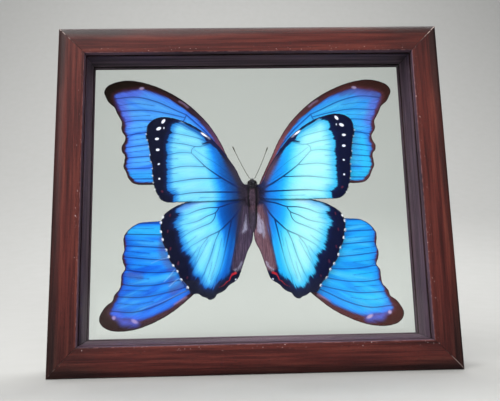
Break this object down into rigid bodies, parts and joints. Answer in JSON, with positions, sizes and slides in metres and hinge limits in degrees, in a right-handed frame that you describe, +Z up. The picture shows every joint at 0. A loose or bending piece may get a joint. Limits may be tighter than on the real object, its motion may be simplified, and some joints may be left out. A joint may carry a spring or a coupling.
{
  "type": "framed butterfly specimen",
  "caption": "Deep wooden display frame, glazed in front and behind, holding a spread blue butterfly over loose larger blue forewings.",
  "frame": {"origin": "middle of the frame's bottom edge, half-way between its front and back faces", "axes": "+X to the right of a person who looks at the front, +Y from the front to the back, +Z up"},
  "size_m": [0.178, 0.0256, 0.156],
  "materials": {
    "stained_wood": "red-brown stain, darker at the corners, satin varnish",
    "clear_glass": "clear, flat, polished",
    "front_wing": "iridescent pale blue with a black border and white spots",
    "back_wing": "iridescent blue to violet with a brown-black border",
    "insect_body": "dark brown, matt and furry",
    "antenna": "dark olive, matt"
  },
  "bodies": {
    "root": {"rail_bottom": "stained_wood", "rail_top": "stained_wood", "rail_left": "stained_wood", "rail_right": "stained_wood", "glass_front": "clear_glass", "glass_back": "clear_glass", "forewing_left": "front_wing", "forewing_right": "front_wing", "hindwing_left": "front_wing", "hindwing_right": "front_wing", "back_wing_upper_left": "back_wing", "back_wing_upper_right": "back_wing", "back_wing_lower_left": "back_wing", "back_wing_lower_right": "back_wing", "body": "insect_body", "antenna_left": "antenna", "antenna_right": "antenna"}
  },
  "joints": []
}
